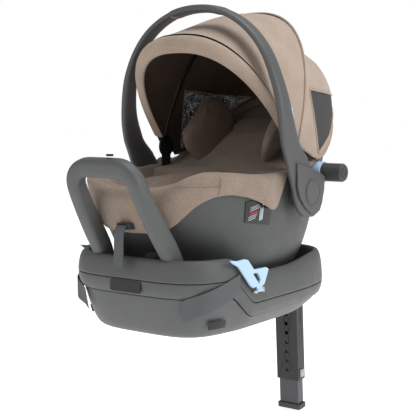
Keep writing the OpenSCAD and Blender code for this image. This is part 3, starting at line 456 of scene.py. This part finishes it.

# %% [markdown]
# ## Padded cover
# One quilted skin hangs over the rim and runs down into the seat. It puffs out over the rim, tucks in at the foot end
# and is rippled with soft waves.

# %% Padded cover
SEAT_Z = [(-300, 262), (-230, 246), (-150, 234), (-60, 214), (0, 196), (36, 200), (80, 232), (150, 300),
          (220, 367), (290, 430), (360, 478)]
HEM_Z = [(-300, 205), (-276, 206), (-262, 214), (-246, 236), (-225, 266), (-200, 281), (-166, 285), (-120, 277),
         (-70, 258), (-40, 245), (-22, 248), (0, 286), (18, 315), (120, 326), (170, 351), (230, 392),
         (290, 440), (360, 490)]


def top_z(y):
    return rim_z(y) + 15 + 11 * smooth((-y - 40) / 200)


def outline(off=0.0):
    return oval(A2, 190, -274, 352, 10, 2.7, off)


A2 = np.arange(256) * 360.0 / 256


def flap(off, bulge, t):
    bx, by = outline()
    puff = mix(13, 2.2, smooth((by + 80) / 70))
    tuck = 17 * smooth((-by - 200) / 50) * max(0, 1 - min(1, t)) ** 1.5
    x, y = oval(A2, 190, -274, 352, 10, 2.7, off + bulge * puff - tuck)
    return np.stack([x, y, mix(soft_table(by, HEM_Z, 7), top_z(by), t)], 1)


def bowl(s, dz):
    bx, by = oval(A2, 164, -248, 326, 10, 2.7)
    x, y = bx * s, 10 + (by - 10) * s
    f = soft_table(y, SEAT_Z, 16)
    head = smooth((y - 60) / 120)
    z = mix(f + mix(34, 20, head) * (abs(x) / 150) ** 2, top_z(by) - 12, s ** 5) + dz
    return np.stack([x, y, z], 1)


cover = loft("padded_cover", [
    flap(2.0, 0.0, 0.14), flap(1.4, 0.1, 0.03), flap(1.7, 0.2, 0.0), flap(1.5, 0.42, 0.035), flap(0.8, 0.66, 0.1),
    flap(0.4, 0.86, 0.24), flap(0, 1, 0.4), flap(0, 1.02, 0.56), flap(0, 0.98, 0.72), flap(-0.4, 0.88, 0.84),
    flap(-2, 0.62, 0.93), flap(-5, 0.2, 0.985), flap(-12, 0, 1.0), flap(-20, 0, 0.965), bowl(0.99, 0),
    bowl(0.96, 0), bowl(0.92, 0), bowl(0.87, 0), bowl(0.81, 0), bowl(0.74, 0), bowl(0.66, 0), bowl(0.57, 0),
    bowl(0.47, 0), bowl(0.36, 0), bowl(0.24, 0), bowl(0.1, 0),
], TAUPE)


def wrinkle(o, size_mm, depth_mm, group=None, kind="CLOUDS"):
    tex = bpy.data.textures.new(o.name + "_folds", kind)
    tex.noise_scale = size_mm * MM
    m = modifier(o, "DISPLACE", strength=depth_mm * MM, mid_level=0.5)
    m.texture = tex
    m.texture_coords = "LOCAL"
    return m


subdivide(cover, 1)
wrinkle(cover, 55, 3.0)
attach(cover, "carrier")
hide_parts("seat_cover")

# %% [markdown]
# ## Stitched seams and sewn-in labels
# Flat pieces are laid on the cover by casting rays at it from outside, so each one
# follows the padding under it.

# %% Seams and labels
bpy.context.view_layer.update()


def lay_on(o, start, way, lift):
    """The point on o that a ray from start along way meets first, raised by lift."""
    ground = o.evaluated_get(bpy.context.evaluated_depsgraph_get())
    back = ground.matrix_world.inverted()
    hit, where, normal, _ = ground.ray_cast(back @ (Vector(start) * MM), back.to_3x3() @ Vector(way))
    if not hit:
        return None
    world = ground.matrix_world @ where
    return np.array(world) / MM + np.array(ground.matrix_world.to_3x3() @ normal) * lift


def cord_on(o, name, starts, way, radius, material):
    """A sewn cord along the surface of o."""
    pts = [p for p in (lay_on(o, s, way, radius * 0.25) for s in starts) if p is not None]
    if len(pts) > 3:
        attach(tube(name, pts, radius, material), "carrier")


def film_on(o, name, corners, way, material, lift=0.8, n=10, x0=400.0):
    """Thin film over the four corners (y, z), given in turn, laid on the surface of o."""
    c = np.array(corners, float)
    rows = []
    for u in np.linspace(0, 1, n):
        a, b = mix(c[0], c[3], u), mix(c[1], c[2], u)
        rows.append([lay_on(o, (x0, *mix(a, b, v)), way, lift) for v in np.linspace(0, 1, n)])
    if any(p is None for row in rows for p in row):
        print("film misses its surface:", name)
        return
    film = loft(name, rows, material, wrap=False)
    thicken(film, 0.3, 0)
    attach(film, "carrier")


def bar_shape(y, z, length, height, slope):
    """Corners of a slanted bar that starts at (y, z)."""
    dy, dz = length, length * slope
    return [(y, z), (y + dy, z + dz), (y + dy, z + dz + height), (y, z + height)]


SEAM = fabric("taupe_seam_thread", "8d7d70", "6b5d52", 0.6, 0.3, 0.3)
YELLOW = plastic("yellow_label_film", "e8cf1c", 0.5, 1, 0)
SKY = plastic("blue_label_film", "5fa9cc", 0.4, 1, 0)
PALE = plastic("grey_label_film", "a9abac", 0.4, 1, 0)
for side, label in ((1, "right"), (-1, "left")):
    lines = ([(side * 400, -196, z) for z in np.linspace(286, 322, 14)],
             [(side * 400, y, 303) for y in np.linspace(-262, -197, 30)])
    for k, starts in enumerate(lines):
        cord_on(cover, f"cover_seam_{label}_{k}", starts, (-side, 0, 0), 0.8, SEAM)

film_on(cover, "warning_label", [(37, 300), (72, 256), (91, 270), (57, 311)], (-1, 0, 0), WHITE, 0.9, 10, -10.0)
film_on(cover, "warning_label_strip", [(50, 305), (83, 265), (90, 270), (57, 310)], (-1, 0, 0), YELLOW, 1.3, 10, -10.0)

SLANT = 0.24
SHAPES = [
    ("figure", bar_shape(-140, 232, 26, 30, 0.1), PALE, 0.5), ("strap_a", bar_shape(-143, 252, 34, 4, -0.12), SKY, 0.8),
    ("strap_b", bar_shape(-134, 228, 6, 34, 0.3), SKY, 0.8), ("red_bar", bar_shape(-106, 240, 26, 3, SLANT), RED, 0.5),
    ("dial", bar_shape(-128, 221, 9, 8, 0), WHITE, 0.5), ("seat_shape", bar_shape(-74, 226, 12, 26, 0.2), PALE, 0.5),
    ("belt_shape", bar_shape(-70, 228, 3, 24, 0.6), SKY, 0.8), ("mark", bar_shape(-66, 258, 8, 8, 0), WHITE, 0.5),
] + [(f"line_{k}", bar_shape(-107, 235 - 3.6 * k, 26 - 2 * (k % 3), 1.6, SLANT), PALE, 0.5) for k in range(5)] + [
    (f"line_up_{k}", bar_shape(-104, 247 + 3.6 * k, 30 - 3 * k, 1.6, SLANT), PALE, 0.5) for k in range(3)]
for side, label in ((1, "right"), (-1, "left")):
    for name, corners, material, lift in SHAPES:
        film_on(NODES["side_label"], f"label_{name}_{label}", corners, (-side, 0, 0), material, lift, 4, side * 400.0)
print("seams and labels sewn on")


# %% [markdown]
# ## Cushions
# Each pad is puffed up as cloth over its own shape, so it gets real folds.

# %% Cushions
def puff_up(o, voxel_mm, pressure, cap_mm, frames=20):
    """Remeshes o evenly, inflates it as cloth and keeps the shape."""
    scene = bpy.context.scene
    bpy.context.view_layer.objects.active = o
    for q in bpy.context.selected_objects:
        q.select_set(False)
    o.select_set(True)
    m = modifier(o, "REMESH", mode="VOXEL", voxel_size=voxel_mm * MM)
    bpy.ops.object.modifier_apply(modifier=m.name)
    start = np.array([v.co for v in o.data.vertices])
    c = modifier(o, "CLOTH")
    c.settings.use_pressure = True
    c.settings.uniform_pressure_force = pressure
    c.settings.effector_weights.gravity = 0
    c.settings.mass = 0.3
    c.settings.tension_stiffness = 12
    c.settings.bending_stiffness = 0.3
    c.point_cache.frame_start, c.point_cache.frame_end = 1, frames
    for f in range(1, frames + 1):
        scene.frame_set(f)
    got = o.evaluated_get(bpy.context.evaluated_depsgraph_get())
    end = np.array([v.co for v in got.data.vertices])
    o.modifiers.remove(c)
    scene.frame_set(1)
    move = end - start
    size = np.linalg.norm(move, axis=1, keepdims=True)
    move *= np.minimum(1, cap_mm * MM / np.maximum(size, 1e-9))
    o.data.vertices.foreach_set("co", (start + move).astype(np.float32).ravel())
    for p in o.data.polygons:
        p.use_smooth = True
    o.data.update()


def pillow(name, size, place, material, n=3.2, count=48, steps=14):
    rings = []
    for j in range(steps + 1):
        t = math.radians(-86 + 172 * j / steps)
        z = math.copysign(abs(math.sin(t)) ** 0.75, math.sin(t)) * size[2] / 2
        s = math.cos(t) ** 0.45
        x, y = oval(np.arange(count) * 360 / count, s * size[0] / 2, -s * size[1] / 2, s * size[1] / 2, 0, n)
        rings.append([place(Vector((x[i], y[i], z))) for i in range(count)])
    return loft(name, rings, material)


def turned(centre, degrees):
    a = math.radians(degrees)
    return lambda p: (centre[0] + p[0], centre[1] + p[1] * math.cos(a) - p[2] * math.sin(a),
                      centre[2] + p[1] * math.sin(a) + p[2] * math.cos(a))


def on_back(d, up):
    place = turned((0, 36, 206), 44)
    return lambda p: place((p[0], p[1] + d, p[2] + up))


def wing(side):
    place, a = on_back(212, 72), math.radians(66)
    return lambda p: place((side * (96 + p[0] * math.cos(a) - p[2] * math.sin(a)), p[1],
                            p[0] * math.sin(a) + p[2] * math.cos(a)))


# The back pad, head pad and left head wing get the darker taupe copy as painted shade
pads = [
    ("seat_pad", (232, 190, 20), turned((0, -112, 244), -7), TAUPE, "seat_cushion", "carrier", "taupe_fabric"),
    ("back_pad", (216, 136, 18), on_back(78, 20), SHADED_TAUPE, "back_cushion", "carrier", "brown_fabric"),
    ("head_pad", (168, 146, 22), on_back(226, 26), SHADED_TAUPE, "headrest_pad", "headrest", "brown_fabric"),
    ("head_wing_right", (106, 174, 28), wing(1), TAUPE, "headrest_wings", "headrest", "taupe_fabric"),
    ("head_wing_left", (106, 174, 28), wing(-1), SHADED_TAUPE, "headrest_wings", "headrest", "taupe_fabric"),
]
for name, size, place, material, node, body, slot_name in pads:
    pad = pillow(name, size, place, material)
    if name == "head_wing_left":
        pad.data.flip_normals()
    puff_up(pad, 5, 3.0, 5)
    subdivide(pad)
    wrinkle(pad, 24, 1.2)
    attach(pad, body)
    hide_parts(node)
print("pads:", len(pads))

# %% [markdown]
# ## Handle

# %% Handle
ARM_Y = [(224, 78), (240, 74), (262, 68), (290, 60), (320, 42), (350, 22), (381, -3), (420, -15), (450, -21),
         (520, -31), (620, -34), (700, -32)]
ARM_D = [(224, 12), (229, 30), (240, 43), (262, 52), (290, 53), (320, 48), (350, 41), (381, 31), (420, 26),
         (450, 22), (520, 18.5), (620, 19), (700, 21)]
low = [224, 226, 229, 234, 240, 246, 252, 258, 264, 270, 277, 284, 290, 298, 305, 312, 320, 328, 335, 342, 350, 358,
       366, 374, 382]
half = [(218.0, z) for z in low]
for a in np.arange(1, 90.1, 2):
    c, s = math.cos(math.radians(a)), math.sin(math.radians(a))
    half.append((218 * max(c, 0) ** (2 / 2.1), 392 + 279 * s ** (2 / 2.35)))
half.append((0.0, 671.0))
path = half + [(-x, z) for x, z in half[-2::-1]]


def arm_ring(j, grow=0.0, count=40):
    a, b = np.array(path[max(j - 1, 0)]), np.array(path[min(j + 1, len(path) - 1)])
    d = unit(b - a)
    nrm = (d[1], -d[0])
    x, z = path[j]
    th = mix(18, 14, smooth((z - 480) / 150)) / 2
    dd = table(z, ARM_D) if z < 250 else soft_table(z, ARM_D, 10)
    c = np.array([x - nrm[0] * th, soft_table(z, ARM_Y, 10), z - nrm[1] * th])
    return section(c, np.array([0, -1, 0]), np.array([nrm[0], 0, nrm[1]]), dd + grow, th + grow, 3, count)


handle = loft("handle_arch", [arm_ring(j) for j in range(len(path))], HANDLE)
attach(handle, "handle")
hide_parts("handle_bar")
mid = len(path) // 2
span = range(mid - 9, mid + 10)
grip = loft("handle_grip_sleeve", [arm_ring(j, 1.5 if 0 < k < 18 else 0.6) for k, j in enumerate(span)], HANDLE,
            caps=True)
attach(grip, "handle")
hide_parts("handle_grip")


# %% [markdown]
# ## Canopy
# Two fabric panels hang between wire bows. Each panel is a thin sheet with a
# lining inside, and each seam is bound with piping.

# %% Canopy
CAN_Y, CAN_Z = 68.0, 366.0
FRONT, REAR = -37.0, 20.0


def arch(psi, r, w, a, n=2.5):
    c, s = np.cos(np.radians(a)), np.sin(np.radians(a))
    h = r * np.abs(s) ** (2 / n)
    p = np.radians(psi)
    return np.stack([w * np.sign(c) * np.abs(c) ** (2 / n), CAN_Y + h * np.sin(p), CAN_Z + h * np.cos(p)], -1)


def spread(n):
    """Arch angles in even steps from one pivot to the other."""
    return np.linspace(0.6, 179.4, n)


def two_sided(o, lining, t=1.0):
    """Thin cloth with the lining on its inner face."""
    o.data.materials.append(lining)
    m = thicken(o, t, -1)
    m.material_offset = 1
    m.use_rim = True
    m.material_offset_rim = 0
    return m


aa = spread(97)
rows = []
for k in range(25):
    t = k / 24
    psi = mix(1.6 + FRONT, REAR + 1.8, t)
    sag = math.sin(math.pi * t ** 0.8)
    r = mix(294, 322, t) - 30 * sag + 1.2
    w = 181.5 - 3 * sag + 1
    pts = arch(psi, r + 1.2, w + 1.2, aa)
    fold = 1.6 * sag * np.sin(np.radians(aa * 7 + 40 * t)) * np.sin(np.radians(aa))
    pts[:, 2] -= fold
    rows.append(pts)
front = loft("canopy_front_cloth", rows, CANOPY, wrap=False)
front.data.flip_normals()
two_sided(front, INSIDE)
subdivide(front)
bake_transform(front)
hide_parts("canopy_front_panel")

EDGE_Z = [(100, 343), (150, 346), (180, 351), (230, 379), (290, 425), (400, 500)]


def drape(i, t, off):
    """Rear cloth: i runs 0 to 1 across, t runs 0 at the bow to 1 at the shell's edge."""
    b = arch(REAR + 1.9, 323.4 + off, 183 + off, 0.6 + 178.8 * i)
    ex, ey = oval(mix(33, 147, i), 190, -274, 352, 10, 2.7, 6.5 + off)
    q = np.stack([ex, ey, soft_table(ey, EDGE_Z, 12)], -1)
    m = np.sin(np.pi * i) ** 0.8
    out = m * (46 * math.sin(math.pi * t ** 1.7) ** 1.2 - 16 * math.sin(math.pi * min(1, 2 * t)))
    p = mix(b, q, t)
    p[:, 1] += out
    p[:, 2] += out * 0.35
    return p


WINDOW = [(142, 496), (336, 482), (222, 392), (150, 356)]


def inside_window(y, z, g=0.0):
    """True where a point lies in the side window, shrunk by g."""
    n = len(WINDOW)
    cy, cz = np.mean(WINDOW, 0)
    for k in range(n):
        (y0, z0), (y1, z1) = WINDOW[k], WINDOW[(k + 1) % n]
        length = math.hypot(y1 - y0, z1 - z0)
        side = ((y1 - y0) * (z - z0) - (z1 - z0) * (y - y0)) / length
        centre = ((y1 - y0) * (cz - z0) - (z1 - z0) * (cy - y0)) / length
        if side * math.copysign(1, centre) < g:
            return False
    return True


ii = np.linspace(0, 1, 161)
rows = [drape(ii, k / 60, 1.2) for k in range(61)]
rear = loft("canopy_rear_cloth", rows, CANOPY, wrap=False)
nets = loft("canopy_side_nets", [drape(ii, k / 60, 0.5) for k in range(61)], NET, wrap=False)


def cut_faces(o, keep):
    import bmesh
    bm = bmesh.new()
    bm.from_mesh(o.data)
    gone = []
    for f in bm.faces:
        c = f.calc_center_median() * 1000
        if keep(abs(c.x), c.y, c.z) is False:
            gone.append(f)
    bmesh.ops.delete(bm, geom=gone, context="FACES")
    bm.to_mesh(o.data)
    bm.free()


cut_faces(rear, lambda x, y, z: not (x > 95 and inside_window(y, z)))
cut_faces(nets, lambda x, y, z: x > 90 and inside_window(y, z, -9))
rear.data.flip_normals()
two_sided(rear, INSIDE)
for o, node, slot_name in ((rear, "canopy_rear_panel", "taupe_fabric"), (nets, "canopy_mesh_left", "dark_mesh")):
    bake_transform(o)
    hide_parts(node)
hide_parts("canopy_mesh_right")


def snap_to_drape(points, off):
    """Puts side points (y, z) onto the rear cloth, on the +x side."""
    grid_i, grid_t = np.meshgrid(np.linspace(0, 0.5, 90), np.linspace(0, 1, 70))
    cloud = np.concatenate([drape(row_i, row_t[0], off) for row_i, row_t in zip(grid_i, grid_t)])
    out = []
    for y, z in points:
        side = cloud[cloud[:, 0] > 60]
        k = np.argsort((side[:, 1] - y) ** 2 + (side[:, 2] - z) ** 2)[:4]
        out.append((side[k, 0].mean(), y, z))
    return out


def along(points, n, closed=False):
    pts = np.array(points + points[:1] if closed else points, float)
    d = np.concatenate([[0], np.cumsum(np.linalg.norm(np.diff(pts, axis=0), axis=1))])
    s = np.linspace(0, d[-1], n, endpoint=not closed)
    return [tuple(np.interp(s, d, pts[:, k])[i] for k in range(pts.shape[1])) for i in range(n)]


win = snap_to_drape(along(WINDOW, 80, True), 1.6)
for side in (1, -1):
    o = tube("window_binding_" + ("right" if side > 0 else "left"), [(side * x, y, z) for x, y, z in win], 2.0,
             PIPING, True)
    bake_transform(o)

hem = drape(np.linspace(0, 1, 120), 1.0, 1.0)
o = tube("canopy_hem_binding", [tuple(p) for p in hem], 2.6, PIPING)
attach(o, "carrier")
o = tube("rear_bow_binding", [tuple(p) for p in arch(REAR + 0.4, 324.6, 184.6, spread(120))], 2.6, PIPING)
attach(o, "rear_bow")

rim_rings = []
for a in np.linspace(3, 177, 121):
    d = math.sin(math.radians(a))
    rim_rings.append([arch(FRONT + p, 294 + r, 176 + w, a) for p, r, w in (
        (1, 2.5, 9), (-0.4, 3.8, 11 + 4 * d * d * (1 - d)), (-1.8, 3.5, 12 + 10 * d * d * (1 - d)),
        (-3.4, -1.5, 9 + 4 * d * d * (1 - d)), (-4.6, -8, 4), (-5.2, -16, -4), (-5.3, -22.5, -10.6), (-4.6, -25.2, -13.2),
        (-3.4, -25, -13), (-2.9, -17, -6), (-2.6, -9, 1))])
rim_roll = loft("canopy_rim_roll", rim_rings, PIPING)
subdivide(rim_roll)
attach(rim_roll, "front_bow")
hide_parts("canopy_rim")
print("canopy pieces built")

# %% [markdown]
# ## CAD pieces shown as they are
# The rest of the CAD nodes get their material and weighted normals, and those listed in BEVEL a small bevel.

# %% Node materials
SHOWN = {
    "leg_storage_tray": DARK, "front_deck": DARK, "front_badge": BLACK, "bar_bumper": BLACK, "leg_housing": GREY_LIGHT,
    "leg_hinge_pin": STEEL, "anchor_strap_left": WEB, "anchor_strap_right": WEB, "belt_label": GLOSS,
    "lockoff_pins": STEEL, "base_rail_front": STEEL, "base_rail_rear": STEEL, "lockoff_left": BLUE,
    "lockoff_right": BLUE, "recline_knob": DARK, "recline_foot": DARK, "leg_outer_tube": LEG_BLACK,
    "leg_inner_tube": LEG_GREY, "leg_foot": DARK, "leg_button": SILVER, "dock_bars": STEEL, "crotch_pad": INSIDE,
    "buckle": BLACK, "buckle_button": RED, "harness_straps": WEB, "chest_clip": BLACK, "adjuster_strap": WEB,
    "strap_guide": DARK, "hub_mounts": DARK, "hub_pins": STEEL, "canopy_clips": BLACK, "release_lever": BLUE,
    "side_label": GLOSS, "pod_collars": BLUE, "pod_left": DARK, "pod_right": DARK, "hub_cover_left": HANDLE,
    "hub_cover_right": HANDLE, "handle_button_left": BLUE, "handle_button_right": BLUE, "canopy_front_bow": BLACK,
    "canopy_rear_bow": BLACK,
}
BEVEL = {"leg_housing": 5.0, "leg_foot": 3.0, "leg_outer_tube": 1.6, "leg_inner_tube": 1.4, "hub_cover_right": 1.0,
         "hub_cover_left": 1.0, "lockoff_right": 0.9, "lockoff_left": 0.9, "buckle": 2.0, "chest_clip": 2.0,
         "recline_knob": 0.8, "pod_left": 1.4, "pod_right": 1.4, "handle_button_left": 1.2,
         "handle_button_right": 1.2, "front_badge": 0.4, "pod_collars": 0.8, "release_lever": 2.0,
         "hub_mounts": 1.2, "front_deck": 1.2, "bar_bumper": 1.0, "strap_guide": 1.0, "recline_foot": 1.5}
for name, material in SHOWN.items():
    o = NODES[name]
    o.data.materials.clear()
    o.data.materials.append(material)
    for p in o.data.polygons:
        p.material_index = 0
        p.use_smooth = True
    modifier(o, "WELD", merge_threshold=0.00001)
    if name in BEVEL:
        modifier(o, "BEVEL", width=BEVEL[name] * MM, segments=3, limit_method="ANGLE", angle_limit=math.radians(35),
                 harden_normals=False)
    modifier(o, "WEIGHTED_NORMAL", keep_sharp=True)
print("CAD pieces dressed:", len(SHOWN))

# %% [markdown]
# ## Floor, light and camera

# %% Floor, light and camera
fl = mesh_object("floor", [(-6000, -6000, -306), (6000, -6000, -306), (6000, 6000, -306), (-6000, 6000, -306)],
                 [(0, 1, 2, 3)], WHITE)
pale, sh = new_material("pale_studio_floor")
sh.inputs["Base Color"].default_value = (0.9, 0.9, 0.9, 1)
sh.inputs["Roughness"].default_value = 0.9
sh.inputs["Emission Color"].default_value = (1, 1, 1, 1)
sh.inputs["Emission Strength"].default_value = 0.75
fl.data.materials[0] = pale

scene = bpy.context.scene
world = bpy.data.worlds.new("studio")
scene.world = world
world.use_nodes = True
nt = world.node_tree
back = nt.nodes["Background"]
back.inputs["Color"].default_value = (1, 1, 1, 1)
path_node = nt.nodes.new("ShaderNodeLightPath")
level = nt.nodes.new("ShaderNodeMapRange")
level.inputs["To Min"].default_value = 0.42
level.inputs["To Max"].default_value = 1.0
nt.links.new(path_node.outputs["Is Camera Ray"], level.inputs["Value"])
nt.links.new(level.outputs["Result"], back.inputs["Strength"])


def area(name, place, target, size, power):
    data = bpy.data.lights.new(name, "AREA")
    data.energy = power
    data.size = size
    o = bpy.data.objects.new(name, data)
    o.location = place
    o.rotation_euler = (Vector(target) - Vector(place)).to_track_quat("-Z", "Y").to_euler()
    scene.collection.objects.link(o)
    return o


area("softbox_top", (0.5, 0.2, 2.4), (0, 0, 0.3), 1.6, 30)
area("softbox_right", (2.3, 0.2, 1.2), (0, 0, 0.3), 1.2, 24)
area("softbox_front", (-0.8, -2.4, 1.2), (0, 0, 0.3), 1.4, 10)

cam_data = bpy.data.cameras.new("camera")
cam_data.lens = 85.15
cam_data.sensor_width = 36
cam_data.dof.use_dof = False
cam = bpy.data.objects.new("camera", cam_data)
cam.location = (1.254, -1.745, 0.4524)
cam.rotation_euler = (Vector((0, 0, 0.236)) - Vector(cam.location)).to_track_quat("-Z", "Y").to_euler()
scene.collection.objects.link(cam)
scene.camera = cam
scene.view_settings.view_transform = "Standard"
